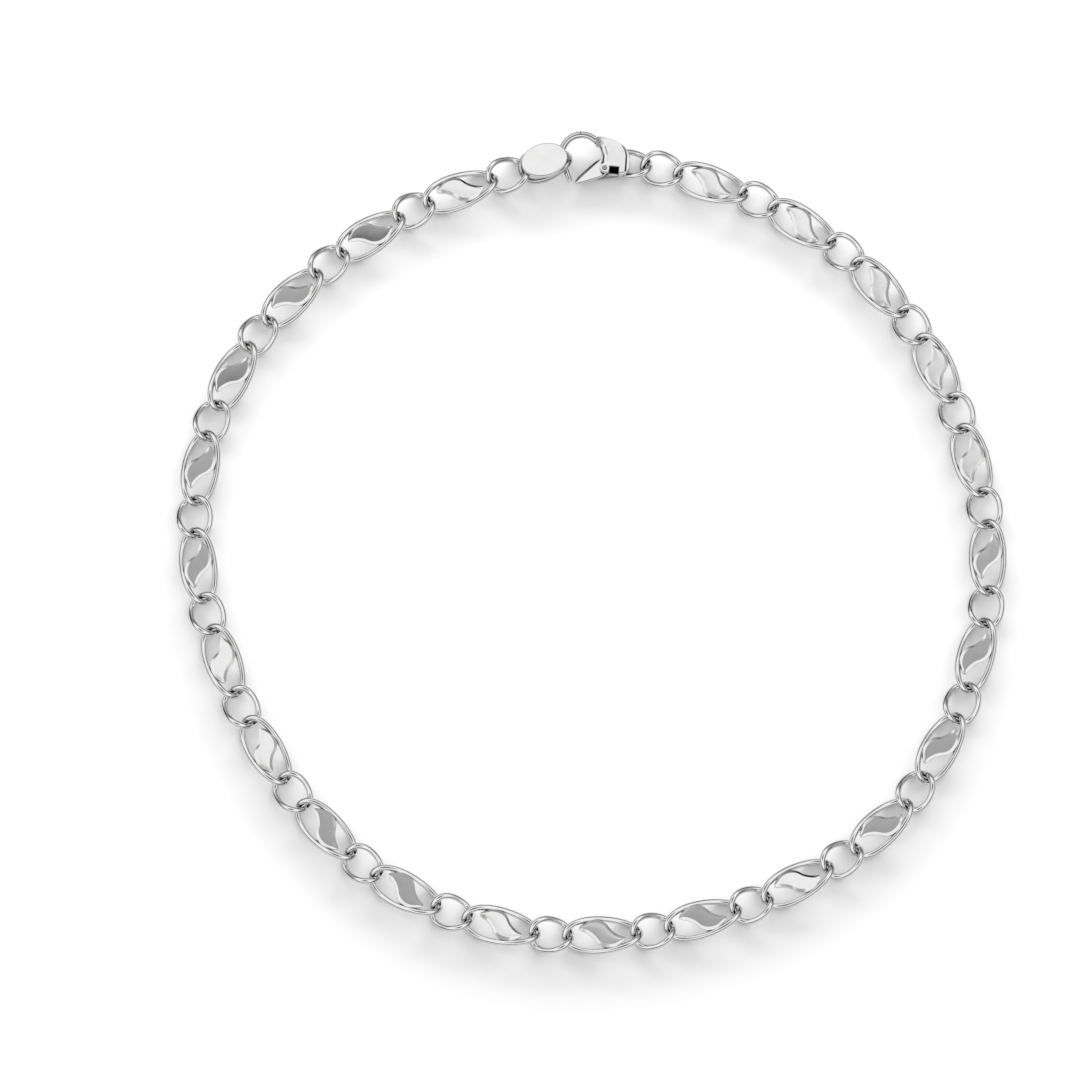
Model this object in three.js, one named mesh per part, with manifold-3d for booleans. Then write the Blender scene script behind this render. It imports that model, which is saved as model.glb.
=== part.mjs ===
// Chain bracelet in polished silver, lying flat in a closed loop: round and eye-shaped links in turn,
// an oval tag on its own end link, and a lobster clasp whose claw holds the tag.
// Millimetres, +Z up. The origin is under the middle of the bracelet's box, on the surface it lies on.
// Every piece is made in a frame of its own: x along the chain, counter-clockwise round the loop,
// y towards the inside of the loop, z up. "Ahead" is the +x end of a piece, "behind" its -x end.
import * as THREE from "three";
import { mergeVertices } from "three/addons/utils/BufferGeometryUtils.js";
import Module from "manifold-3d";

const wasm = await Module();
wasm.setup();

// Chain
const ROUND_LINKS = 24;
const NAVETTE_LINKS = ROUND_LINKS - 1;
const LINK_PLAY = 0.07; // gap left where two pieces bear on each other
const LINK_TWIST = 37; // degrees that a link's end leans from the level
const ROUND_LENGTH = 3.78;
const ROUND_WIDTH = 3.1;
const ROUND_WIRE = 0.5;
const NAVETTE_LENGTH = 6.56;
const NAVETTE_WIDTH = 3.15;
const NAVETTE_WIRE = 0.5;

// Leaf plate across an eye-shaped link
const LEAF_LENGTH = 3.7;
const LEAF_INSET = 0.35; // how much narrower it is than the span between the middles of the rail's sides
const LEAF_WIDTH = NAVETTE_WIDTH - NAVETTE_WIRE - LEAF_INSET;
const LEAF_THICKNESS = 0.34;
const LEAF_BEVEL = 0.15;
const LEAF_RISE = 0.42; // middle of the plate above the middle of the link

// Tag
const TAG_LINK_LENGTH = 4.56;
const TAG_LINK_WIDTH = 3.0;
const TAG_WIRE = 0.45;
const TAG_PLATE_LENGTH = 3.8;
const TAG_PLATE_WIDTH = 2.9;
const TAG_PLATE_THICKNESS = 0.45;
const TAG_BEVEL = 0.08;
const TAG_TWIST_AHEAD = 38; // degrees that the ends of the tag's link lean from the level
const TAG_TWIST_BEHIND = 43;
const TAG_ROLL = 3; // degrees that the whole tag leans, its inner edge up
const TAG_PITCH = 3; // degrees that its end in the claw is raised

// Clasp
const CLASP_REACH = 6.66; // from the bearing point of its end ring to that of its claw
const CLAW_PLAY = 0.12; // more gap where the tag hangs in the claw
const CLASP_THICKNESS = 1.5;
const CLASP_ROLL = -5; // degrees that the clasp leans, its inner edge down
const CLASP_BEVEL = 0.16;
const CLAW_RADIUS = 1.95;
const CLAW_WIRE = 0.62;
const CLAW_THICKNESS = 0.68;
const CLAW_SHIFT = 0.42; // of the claw's round towards the outside of the loop
const CLAW_ARC = 28; // degrees past the front where the claw runs out straight
const CLAW_STRAIGHT = 1.7;
const CLAW_TIP = 0.42;
const BODY_FRONT = 1.38; // from the claw's middle back to the front of the body
const BODY_WIDTH = 3.4;
const BODY_BEHIND = 1.98; // from the clasp's middle back to the end of its body
const CHEEK = 0.42;
const CHEEK_AHEAD = 0.36; // from the clasp's middle to the front of the upper cheek
const CHEEK_INWARD = 0.42; // from the clasp's middle to the upper cheek's inner edge
const SLOT_BACK = 1.12; // from the clasp's middle back to the end of the slot
const SLOT_WALL = 0.72; // from the clasp's middle out to the wall beside the slot
const ROOT_SLOPE = 21; // degrees that the body falls away towards the claw's root
const ROOT_BEARING = -46; // of that root from the clasp's middle
const ROOT_START = 1; // from the clasp's middle to where the body starts to fall away
const CLAW_START = -135; // degrees round the claw where it comes out of the body

// Lever of the clasp, its pin and the end ring
const LEVER_PLAY = 0.07;
const LEVER_REACH = 2.68; // from the pin's middle to the tip, along the clasp
const LEVER_SLANT = 30; // degrees between the lever's arm and the clasp
const LEVER_ROOT = 1.13; // from the pin's middle to the arm's root in the opening
const LEVER_BEHIND = 0.25; // of that root from the pin's middle
const LEVER_TIP = 0.4;
const HUB_RADIUS = 0.4;
const HUB_SHOULDER = 0.55; // from the pin's middle to the arm's outer edge
const LUG_RADIUS = 0.4;
const PIN_RADIUS = 0.17;
const PIN_PLAY = 0.04;
const PIN_AHEAD = 0.04; // of the pin from the clasp's middle
const PIN_INWARD = 0.62;
const END_RING_LENGTH = 3.6;
const END_RING_WIDTH = 2.5;
const END_RING_WIRE = 0.5;
const END_RING_DROP = 0.15;

// How finely curves are cut
const ROUND_STEPS = 12;
const NAVETTE_STEPS = 16;
const WIRE_SIDES = 6;
const TIP_CROWDING = 0.35; // how much closer the steps are at a link's ends
const TAG_STEPS = 18;
const LEAF_STEPS = 16;
const OVAL_STEPS = 20;
const ARC_STEPS = 12;
const SOLVER_STEPS = 50;
const PIN_SIDES = 12;

// The chain's route: the loop's radius at each 15 degrees of bearing from +X, as a share of its mean.
const ROUTE = [
  0.994, 0.976, 0.985, 0.99, 0.989, 0.99, 1.01, 0.985, 0.982, 0.991, 1.01, 1.012,
  1.0, 0.977, 0.976, 0.993, 1.013, 1.013, 1.009, 1.004, 1.012, 1.034, 1.016, 1.003,
];
const FIRST_BEARING = 81.3; // of the point where the clasp's end ring bears on the last link

// The leaf's outer edge from tip to tip, as shares of its half length and half width. The inner edge is
// the same one after half a turn.
const LEAF_EDGE = [
  [-1, 0.42],
  [-0.6, 0.94],
  [-0.16, 1],
  [0.16, 0.76],
  [0.38, 0.3],
  [0.62, -0.04],
];

// The clasp body's outline, as shares of its length from its back and of its half width.
const BODY_OUTLINE = [
  [0.0, -0.1],
  [0.06, -0.5],
  [0.24, -0.82],
  [0.7, -1.14],
  [1.14, -1.2],
  [1.14, -0.86],
  [0.98, -0.62],
  [0.9, -0.26],
  [0.9, -0.1],
  [1.49, 0.62],
  [1.5, 0.88],
  [1.43, 1.0],
  [0.7, 0.8],
  [0.08, 0.6],
  [0.01, 0.34],
];

const silver = (color, roughness) =>
  new THREE.MeshStandardMaterial({ color, roughness, metalness: 1 });
const WIRE_SILVER = silver(0xe2e2e2, 0.12);
const LEAF_SILVER = silver(0xeaeaea, 0.08);
const CLASP_SILVER = silver(0xe6e6e6, 0.14);

const { degToRad, lerp, smoothstep, euclideanModulo } = THREE.MathUtils;
const slopeOf = (degrees) => Math.tan(degToRad(degrees));
const QUARTER = 90;
const FULL_TURN = 360;

// A closed line round a link. Each end leans by its own slope, so the link is twisted about the chain.
class LinkLine extends THREE.Curve {
  constructor(length, width, wire, slopeAhead, slopeBehind) {
    super();
    this.halfLength = (length - wire) / 2;
    this.halfWidth = (width - wire) / 2;
    this.slopeAhead = slopeAhead;
    this.slopeBehind = slopeBehind;
  }

  getPoint(t, target = new THREE.Vector3()) {
    const turn = 2 * Math.PI * t - (TIP_CROWDING / 2) * Math.sin(4 * Math.PI * t);
    const y = this.halfWidth * Math.sin(turn);
    const slope = lerp(this.slopeBehind, this.slopeAhead, (1 + Math.cos(turn)) / 2);
    return target.set(this.halfLength * Math.cos(turn), y, y * slope);
  }

  getPointAt(u, target) {
    return this.getPoint(u, target);
  }

  getTangentAt(u, target) {
    return this.getTangent(u, target);
  }
}

function twistedWire(length, width, wire, steps, twistAhead, twistBehind) {
  const line = new LinkLine(length, width, wire, -slopeOf(twistAhead), slopeOf(twistBehind));
  return new THREE.TubeGeometry(line, steps, wire / 2, WIRE_SIDES, true);
}

// A level plate of the given outline, its middle at height z, its edges bevelled inside the outline.
function plate(outline, thickness, bevel, z) {
  const geometry = new THREE.ExtrudeGeometry(outline, {
    curveSegments: ARC_STEPS,
    depth: thickness - 2 * bevel,
    bevelEnabled: bevel > 0,
    bevelThickness: bevel,
    bevelSize: bevel,
    bevelOffset: -bevel,
    bevelSegments: 1,
  });
  return geometry.translate(0, 0, z - thickness / 2 + bevel);
}

function solid(geometry) {
  const bare = geometry.clone();
  bare.deleteAttribute("normal");
  bare.deleteAttribute("uv");
  const merged = mergeVertices(bare, 1e-4);
  return new wasm.Manifold(
    new wasm.Mesh({
      numProp: 3,
      vertProperties: merged.attributes.position.array,
      triVerts: new Uint32Array(merged.index.array),
    }),
  );
}

function geometryOf(manifold) {
  const { vertProperties, triVerts } = manifold.getMesh();
  const geometry = new THREE.BufferGeometry();
  geometry.setAttribute("position", new THREE.BufferAttribute(vertProperties, 3));
  geometry.setIndex(new THREE.BufferAttribute(triVerts, 1));
  geometry.computeVertexNormals();
  return geometry;
}

const outlineOf = (points) => new THREE.Shape(points.map(([x, y]) => new THREE.Vector2(x, y)));

function upright(radius, height, x, y) {
  const cylinder = new THREE.CylinderGeometry(radius, radius, height, PIN_SIDES);
  return cylinder.rotateX(Math.PI / 2).translate(x, y, 0);
}

// Round link
function roundLink() {
  return twistedWire(ROUND_LENGTH, ROUND_WIDTH, ROUND_WIRE, ROUND_STEPS, LINK_TWIST, LINK_TWIST);
}

// Eye-shaped link: a twisted rail with the leaf plate soldered across its raised sides
function leafOutline() {
  const edge = LEAF_EDGE.map(
    ([along, across]) => new THREE.Vector3((along * LEAF_LENGTH) / 2, (across * LEAF_WIDTH) / 2, 0),
  );
  const line = new THREE.CatmullRomCurve3([...edge, ...edge.map((p) => p.clone().negate())], true);
  return new THREE.Shape(line.getPoints(LEAF_STEPS).slice(0, -1));
}

function navetteLink() {
  const rail = twistedWire(
    NAVETTE_LENGTH, NAVETTE_WIDTH, NAVETTE_WIRE, NAVETTE_STEPS, LINK_TWIST, LINK_TWIST,
  );
  const leaf = plate(leafOutline(), LEAF_THICKNESS, LEAF_BEVEL, LEAF_RISE);
  return geometryOf(solid(rail).add(solid(leaf)));
}

// Tag: an oval plate soldered on a twisted end link. The plate leans with the middle of that link.
function tag() {
  const link = twistedWire(
    TAG_LINK_LENGTH, TAG_LINK_WIDTH, TAG_WIRE, TAG_STEPS, TAG_TWIST_AHEAD, TAG_TWIST_BEHIND,
  );
  const lean = Math.atan((slopeOf(TAG_TWIST_BEHIND) - slopeOf(TAG_TWIST_AHEAD)) / 2);
  const halfTwist = (slopeOf(TAG_TWIST_BEHIND) + slopeOf(TAG_TWIST_AHEAD)) / 2;
  const rise = ((TAG_LINK_WIDTH - TAG_WIRE) / 4) * halfTwist * Math.cos(lean);
  const rim = new THREE.EllipseCurve(0, 0, TAG_PLATE_LENGTH / 2, TAG_PLATE_WIDTH / 2);
  const oval = new THREE.Shape(rim.getPoints(OVAL_STEPS).slice(0, -1));
  const top = plate(oval, TAG_PLATE_THICKNESS, TAG_BEVEL, rise + TAG_PLATE_THICKNESS / 2).rotateX(lean);
  return geometryOf(solid(link).add(solid(top)))
    .rotateX(degToRad(TAG_ROLL))
    .rotateY(degToRad(TAG_PITCH));
}

// Clasp
const clawEnd = CLASP_REACH / 2 + CLAW_WIRE;
const clawX = clawEnd - CLAW_RADIUS;
const clawY = -CLAW_SHIFT;
const bodyLength = clawX - BODY_FRONT + BODY_BEHIND;
const leverThickness = CLASP_THICKNESS - 2 * CHEEK - 2 * LEVER_PLAY;

function clawOutline() {
  const last = degToRad(CLAW_ARC);
  const first = degToRad(CLAW_START);
  const onClaw = (radius, angle) =>
    new THREE.Vector2(clawX + radius * Math.cos(angle), clawY + radius * Math.sin(angle));
  const ahead = new THREE.Vector2(-Math.sin(last), Math.cos(last));
  const outward = new THREE.Vector2(Math.cos(last), Math.sin(last));
  const outerTip = onClaw(CLAW_RADIUS, last).addScaledVector(ahead, CLAW_STRAIGHT);
  const innerTip = outerTip.clone().addScaledVector(outward, -CLAW_TIP);
  const outline = new THREE.Shape();
  outline.absarc(clawX, clawY, CLAW_RADIUS, first, last, false);
  outline.lineTo(outerTip.x, outerTip.y);
  outline.lineTo(innerTip.x, innerTip.y);
  outline.absarc(clawX, clawY, CLAW_RADIUS - CLAW_WIRE, last, first, true);
  return outline;
}

// What is cut off above the body where it falls away towards the claw's root
function fallAway() {
  const level = CLASP_THICKNESS / 2;
  const profile = outlineOf([
    [ROOT_START, level],
    [ROOT_START + bodyLength, level - bodyLength * slopeOf(ROOT_SLOPE)],
    [ROOT_START + bodyLength, 2 * level],
    [ROOT_START, 2 * level],
  ]);
  return plate(profile, 2 * BODY_WIDTH, 0, 0).rotateX(Math.PI / 2).rotateZ(degToRad(ROOT_BEARING));
}

function claspBody() {
  const body = BODY_OUTLINE.map(([along, across]) => [
    along * bodyLength - BODY_BEHIND,
    (across * BODY_WIDTH) / 2,
  ]);
  const slot = outlineOf([
    [-SLOT_BACK, -SLOT_WALL],
    [2 * bodyLength, -SLOT_WALL],
    [2 * bodyLength, BODY_WIDTH],
    [-SLOT_BACK, BODY_WIDTH],
  ]);
  const opening = outlineOf([
    [-SLOT_BACK, CHEEK_INWARD],
    [CHEEK_AHEAD, CHEEK_INWARD],
    [CHEEK_AHEAD, -SLOT_WALL / 2],
    [2 * bodyLength, -SLOT_WALL / 2],
    [2 * bodyLength, BODY_WIDTH],
    [-SLOT_BACK, BODY_WIDTH],
  ]);
  const slotHeight = CLASP_THICKNESS - 2 * CHEEK;
  const lug = solid(upright(LUG_RADIUS, 2 * CLASP_THICKNESS, PIN_AHEAD, PIN_INWARD));
  const aboveLever = solid(plate(opening, CLASP_THICKNESS, 0, CLASP_THICKNESS / 2)).subtract(lug);
  const ring = twistedWire(
    END_RING_LENGTH, END_RING_WIDTH, END_RING_WIRE, ROUND_STEPS, LINK_TWIST, LINK_TWIST - CLASP_ROLL,
  ).translate((END_RING_LENGTH - CLASP_REACH) / 2 - END_RING_WIRE, 0, -END_RING_DROP);
  return geometryOf(
    solid(plate(outlineOf(body), CLASP_THICKNESS, CLASP_BEVEL, 0))
      .add(solid(ring))
      .subtract(solid(plate(slot, slotHeight, 0, 0)))
      .subtract(aboveLever)
      .subtract(solid(fallAway()))
      .subtract(solid(fallAway().rotateX(Math.PI).rotateZ(2 * degToRad(ROOT_BEARING))))
      .add(solid(plate(clawOutline(), CLAW_THICKNESS, CLASP_BEVEL, 0)))
      .subtract(solid(upright(PIN_RADIUS + PIN_PLAY, 2 * CLASP_THICKNESS, PIN_AHEAD, PIN_INWARD))),
  );
}

function claspLever() {
  const slant = degToRad(LEVER_SLANT);
  const arm = outlineOf([
    [-LEVER_BEHIND, -LEVER_ROOT],
    [LEVER_REACH, -LEVER_TIP / 2],
    [LEVER_REACH, LEVER_TIP / 2],
    [HUB_RADIUS, HUB_SHOULDER],
    [0, HUB_RADIUS],
    [-HUB_RADIUS, 0],
  ]);
  return geometryOf(
    solid(plate(arm, leverThickness, LEVER_PLAY, 0))
      .add(solid(upright(HUB_RADIUS, leverThickness, 0, 0)))
      .subtract(solid(upright(PIN_RADIUS + PIN_PLAY, 2 * CLASP_THICKNESS, 0, 0))),
  )
    .rotateZ(slant)
    .translate(PIN_AHEAD, PIN_INWARD, 0);
}

const claspPin = () => upright(PIN_RADIUS, CLASP_THICKNESS, PIN_AHEAD, PIN_INWARD);

// The loop: pieces in order, each a chord of the route as long as its reach
const reachOf = (length, wire) => length - 2 * wire - LINK_PLAY;

function chain() {
  const lean = (geometry) => geometry.rotateX(degToRad(CLASP_ROLL)).translate(CLAW_PLAY / 2, 0, 0);
  const clasp = [
    ["clasp_body", lean(claspBody()), CLASP_SILVER],
    ["clasp_lever", lean(claspLever()), CLASP_SILVER],
    ["clasp_pin", lean(claspPin()), CLASP_SILVER],
  ];
  const pieces = [
    { reach: CLASP_REACH - LINK_PLAY - CLAW_PLAY, parts: clasp },
    { reach: reachOf(TAG_LINK_LENGTH, TAG_WIRE), parts: [["tag", tag(), LEAF_SILVER]] },
  ];
  const round = roundLink();
  const navette = navetteLink();
  const numbered = (name, n) => name + "_" + String(n).padStart(2, "0");
  for (let n = 1; n <= ROUND_LINKS; n++) {
    const parts = [[numbered("round_link", n), round, WIRE_SILVER]];
    pieces.push({ reach: reachOf(ROUND_LENGTH, ROUND_WIRE), parts });
    if (n > NAVETTE_LINKS) continue;
    const eye = [[numbered("navette_link", n), navette, LEAF_SILVER]];
    pieces.push({ reach: reachOf(NAVETTE_LENGTH, NAVETTE_WIRE), parts: eye });
  }
  return pieces;
}

function onRoute(radius, bearing) {
  const step = FULL_TURN / ROUTE.length;
  const place = euclideanModulo(bearing, FULL_TURN) / step;
  const before = Math.floor(place);
  const after = (before + 1) % ROUTE.length;
  const share = lerp(ROUTE[before], ROUTE[after], smoothstep(place - before, 0, 1));
  const angle = degToRad(bearing);
  return new THREE.Vector3(Math.cos(angle), Math.sin(angle), 0).multiplyScalar(radius * share);
}

// The middle of a range in which a rising test turns true
function solve(low, high, isBelow) {
  for (let n = 0; n < SOLVER_STEPS; n++) {
    const middle = (low + high) / 2;
    if (isBelow(middle)) low = middle;
    else high = middle;
  }
  return (low + high) / 2;
}

function bearingsOf(pieces, radius) {
  const bearings = [FIRST_BEARING];
  for (const { reach } of pieces) {
    const from = bearings.at(-1);
    const start = onRoute(radius, from);
    const isNear = (bearing) => onRoute(radius, bearing).distanceTo(start) < reach;
    bearings.push(solve(from, from + QUARTER, isNear));
  }
  return bearings;
}

const pieces = chain();
const length = pieces.reduce((sum, { reach }) => sum + reach, 0);
const meanRadius = length / (2 * Math.PI);
const overlaps = (radius) => bearingsOf(pieces, radius).at(-1) > FIRST_BEARING + FULL_TURN;
const loopRadius = solve(meanRadius / 2, meanRadius * 2, overlaps);
const bearings = bearingsOf(pieces, loopRadius);

function lowestOf(geometry) {
  geometry.computeBoundingBox();
  return geometry.boundingBox.min.z;
}

const bracelet = new THREE.Group();
pieces.forEach(({ parts }, n) => {
  const behind = onRoute(loopRadius, bearings[n]);
  const ahead = onRoute(loopRadius, bearings[n + 1]);
  const place = new THREE.Group();
  place.position.copy(behind).add(ahead).divideScalar(2);
  place.rotation.z = Math.atan2(ahead.y - behind.y, ahead.x - behind.x);
  place.position.z = -Math.min(...parts.map(([, geometry]) => lowestOf(geometry)));
  for (const [name, geometry, material] of parts) {
    const mesh = new THREE.Mesh(geometry, material);
    mesh.name = name;
    place.add(mesh);
  }
  bracelet.add(place);
});

const box = new THREE.Box3().setFromObject(bracelet, true);
const middle = box.getCenter(new THREE.Vector3());
bracelet.position.set(-middle.x, -middle.y, -box.min.z);

export default bracelet;
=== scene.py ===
"""Chain bracelet in polished silver: round and eye-shaped links, an oval tag and a lobster clasp.

Sizes are in millimetres and angles in degrees. Each piece is shaped in a frame of its own, x along the
chain, y towards the inside of the loop and z up, and then set on its chord of the loop.
"""

import math

import bmesh
import bpy
import numpy as np
from mathutils import Matrix, Vector
from mathutils.geometry import intersect_point_line


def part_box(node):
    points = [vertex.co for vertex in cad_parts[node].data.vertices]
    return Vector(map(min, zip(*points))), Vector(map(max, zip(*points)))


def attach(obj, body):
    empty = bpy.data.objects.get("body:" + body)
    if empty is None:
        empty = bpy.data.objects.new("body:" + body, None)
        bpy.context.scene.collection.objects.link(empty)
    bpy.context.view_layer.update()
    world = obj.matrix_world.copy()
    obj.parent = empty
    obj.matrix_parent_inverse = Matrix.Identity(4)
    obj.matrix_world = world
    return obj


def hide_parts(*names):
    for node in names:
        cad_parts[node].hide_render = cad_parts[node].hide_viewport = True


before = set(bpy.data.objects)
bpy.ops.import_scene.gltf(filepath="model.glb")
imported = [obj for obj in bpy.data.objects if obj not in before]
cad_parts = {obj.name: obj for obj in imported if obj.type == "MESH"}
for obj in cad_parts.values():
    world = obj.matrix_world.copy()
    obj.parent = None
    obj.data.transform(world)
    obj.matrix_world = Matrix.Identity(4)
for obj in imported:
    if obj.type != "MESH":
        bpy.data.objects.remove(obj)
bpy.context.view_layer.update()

bl_info = {
    "name": "Chain bracelet",
    "version": (1, 0, 0),
    "blender": (4, 5, 0),
    "location": "3D View > Sidebar > Bracelet",
    "description": "Builds the links, tag, clasp and stage of a silver chain bracelet",
    "category": "Add Mesh",
}

MM = 0.001

# The loop
ROUND_LINKS = 24
FIRST_BEARING = 81.3  # of the point where the clasp's end ring bears on the last link
LINK_PLAY = 0.07  # gap left where two pieces bear on each other
CLAW_PLAY = 0.12  # more gap where the tag hangs in the claw
# The loop's radius at each 15 degrees of bearing from +X, as a share of its mean
ROUTE = [
    0.994, 0.976, 0.985, 0.99, 0.989, 0.99, 1.01, 0.985, 0.982, 0.991, 1.01, 1.012,
    1.0, 0.977, 0.976, 0.993, 1.013, 1.013, 1.009, 1.004, 1.012, 1.034, 1.016, 1.003,
]  # fmt: skip

# Links: length, width, wire
ROUND_LINK = (3.78, 3.1, 0.5)
EYE_LINK = (6.56, 3.15, 0.5)
TAG_LINK = (4.56, 3.0, 0.45)
END_RING = (3.6, 2.5, 0.5)
END_RING_DROP = 0.15
LINK_TWIST = 37  # degrees that a link's end leans from the level
TIP_CROWDING = 0.35  # how much closer the steps are at a link's ends

# Leaf: length, width and thickness. Its outer edge, from tip to tip, in shares of half its length and width.
LEAF_SIZE = (3.7, 2.3, 0.34)
LEAF_EDGE = [(-1, 0.42), (-0.6, 0.94), (-0.16, 1), (0.16, 0.76), (0.38, 0.3), (0.62, -0.04)]
LEAF_STEPS = 8
LEAF_RISE = 0.42  # middle of the plate above the middle of the link
LEAF_BORDER_DROP = 0.105
LEAF_MOST_BORDER = 0.4  # share of its width at a point that a border may take
LEAF_CAMBER = 0.008
LEAF_CAMBER_STEPS = 4
LEAF_CREASE = 0.015  # width of the narrow faces that keep its creases crisp
LEAF_RIM = 0.01
# How each leaf leans as it was soldered in, towards +x and +y of the loop's frame, in the links' order
LEAF_LEANS = [
    (0, 3), (-2, -4), (-1, -1), (0, -4), (0, -1), (0, -1), (3, 3), (2, 3), (0, -1), (0, -1), (2, 3), (0, 1),
    (0, -1), (1, 5), (-1, -1), (-1, -1), (-1, -1), (-1, 0), (1, 1), (1, 1), (1, 1), (1, 2), (0, 2),
]  # fmt: skip

# Tag: length, width and thickness of its plate, and how it leans
TAG_PLATE = (3.8, 2.9, 0.45)
TAG_BEVEL = 0.11
TAG_SIDES = 72
TAG_TWIST = (38, 43)
TAG_ROLL = 3
TAG_PITCH = 3

# Clasp, its claw
CLASP_REACH = 6.66  # from the bearing point of its end ring to that of its claw
CLASP_THICKNESS = 1.5
CLASP_ROLL = -5  # degrees that the clasp leans, its inner edge down
CLAW_RADIUS = 1.95
CLAW_WIRE = 0.62
CLAW_THICKNESS = 0.68
CLAW_SHIFT = 0.42  # of the claw's round towards the outside of the loop
CLAW_ARC = 28  # degrees past the front where the claw runs out straight
CLAW_START = -150
CLAW_TURNS = 44
CLAW_STRAIGHT = 1.7
CLAW_STEPS = 12
CLAW_TIP = 0.42
CLAW_END = 0.8  # share of the tip's width at its very end
SEAM_BEARING = -82  # of the fine mark across the claw
SEAM_SPAN = (-0.3, 0.5)  # shares of the wire's width, from its outer side
SEAM_WIDTH = 0.05
SEAM_LEVEL = 0.2

# Clasp, its body. The outline is in shares of its length from its back and of its half width.
BODY_LENGTH = 2.6
BODY_WIDTH = 3.4
BODY_BEHIND = 1.98  # from the clasp's middle back to the end of its body
BODY_OUTLINE = [
    (0.0, -0.1), (0.06, -0.5), (0.24, -0.82), (0.7, -1.14), (1.14, -1.2), (1.14, -0.86), (0.98, -0.62),
    (0.9, -0.26), (0.9, -0.1), (1.49, 0.62), (1.5, 0.88), (1.43, 1.0), (0.7, 0.8), (0.08, 0.6), (0.01, 0.34),
]  # fmt: skip
BODY_BEVEL = 0.24
UNDER_BEVEL = 0.16
BODY_SOFTNESS = 6
CHEEK = 0.42
CHEEK_AHEAD = 0.36
CHEEK_INWARD = 0.42
SLOT_BACK = 1.12
SLOT_WALL = 0.72
SLOT_CUT = 0.01
RING_ROOT = 0.12  # from the slot back to where the end ring's wire ends inside the body
ROOT_SLOPE = 21  # degrees that the body falls away towards the claw's root
ROOT_BEARING = -46
ROOT_START = 1
TOP_FALL = 6.5  # degrees that the top falls away outwards
BACK_FALL = 2.5  # and backwards
BACK_BLEND = 0.2
MOST_FALL = 0.85  # share of the cheek that may fall away
MOUTH_EDGE = [(1.05, -1.6), (0.57, -1.05), (0.36, -0.44), (0.36, 0.0)]
MOUTH_ROUND = (0.5, 0.3)  # width and depth to which the mouth's edge is rounded
SHELF_FALL = 11  # degrees that the lower cheek beside the lever leans
SHELF_BLEND = (0.3, 0.15)
STEP_LINE = [(-1.22, -1.42), (-1.49, -1.0), (-1.62, -0.6), (-1.65, 0.0), (-1.65, 0.78)]
STEP_GROOVE = (0.15, 0.36)  # width and depth of the groove along that line
STEP_ABOVE = 0.2

# Clasp, its lever and pin
LEVER_PLAY = 0.07
LEVER_REACH = 2.68  # from the pin's middle to the tip, along the clasp
LEVER_SLANT = 30
LEVER_ROOT = 1.13
LEVER_BEHIND = 0.25
LEVER_TIP = 0.4
LEVER_BEVEL = 0.1
LEVER_FALL = 10
LEVER_ROUND = (0.36, 0.17)
LEVER_SOFTNESS = 3
HUB_RADIUS = 0.4
HUB_SHOULDER = 0.55
HUB_BEVEL = 0.04
LUG_RADIUS = 0.4
LUG_BEVEL = 0.05
PIN_RADIUS = 0.17
PIN_PLAY = 0.04
PIN_AHEAD = 0.04
PIN_INWARD = 0.62
PIN_BEVEL = 0.05

# How curves and edges are cut
BEVEL_STEPS = 4
FACE_RIM = 0.02
ROUND_SIDES = 48
CAST_SIDES = 24
RING_STEPS = 56
SHARP_EDGE = 50  # degrees between two faces from which their edge shows
LEAF_SHARP_EDGE = 19
CORNER_CUT = 0.22
BODY_ROUNDS = 2  # times that the corners of its outline are cut off
LEVER_ROUNDS = 3
DRAWING_STEPS = 40
DRAWING_SLACK = 0.96
SOLVING_STEPS = 50

# How far from a gap's walls painted shade darkens the silver's colour, in metres, in the chain and in the
# clasp's casting
CHAIN_PAINTED_SHADE_REACH = 0.0004
CAST_PAINTED_SHADE_REACH = 0.0009

# Tones of the light tent, by how nearly a direction faces its opening and by height above the table
TENT_OPENING = (-0.15, -0.12, 0.98)
TENT_FACING = [(0, 0.35), (0.42, 0.45), (0.56, 1), (0.88, 1), (0.915, 0.47), (0.955, 0.4), (0.985, 0.05)]
TENT_HEIGHT = [(0, 0.04), (0.24, 0.08), (0.42, 1), (1, 1)]
TENT_STRENGTH = 1.2

# Softboxes round the tent: name, place and size in metres, power in watts
SOFTBOXES = [
    ("back_softbox", (0.0, 0.6, 0.17), (0.8, 0.2), 11),
    ("left_softbox", (-0.5, 0.3, 0.2), (0.4, 0.2), 2),
    ("right_softbox", (0.5, 0.3, 0.2), (0.4, 0.2), 2),
]

# Floor and camera, in metres
FLOOR_SIZE = 3
FRAME_WIDTH = 0.087
LOOK_AT = (-0.00411, 0.00002, 0.0009)


# Mesh helpers. A shape is a pair of lists, points and faces.


def slope_of(degrees):
    return math.tan(math.radians(degrees))


def link_line(size, twist_ahead, twist_behind, steps):
    """Points of a closed line round a link, each end leaning by its own twist."""
    length, width, wire = size
    ahead, behind = -slope_of(twist_ahead), slope_of(twist_behind)
    line = []
    for n in range(steps):
        t = n / steps
        turn = math.tau * t - TIP_CROWDING / 2 * math.sin(2 * math.tau * t)
        y = (width - wire) / 2 * math.sin(turn)
        slope = behind + (ahead - behind) * (1 + math.cos(turn)) / 2
        line.append(Vector(((length - wire) / 2 * math.cos(turn), y, y * slope)))
    return line


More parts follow.
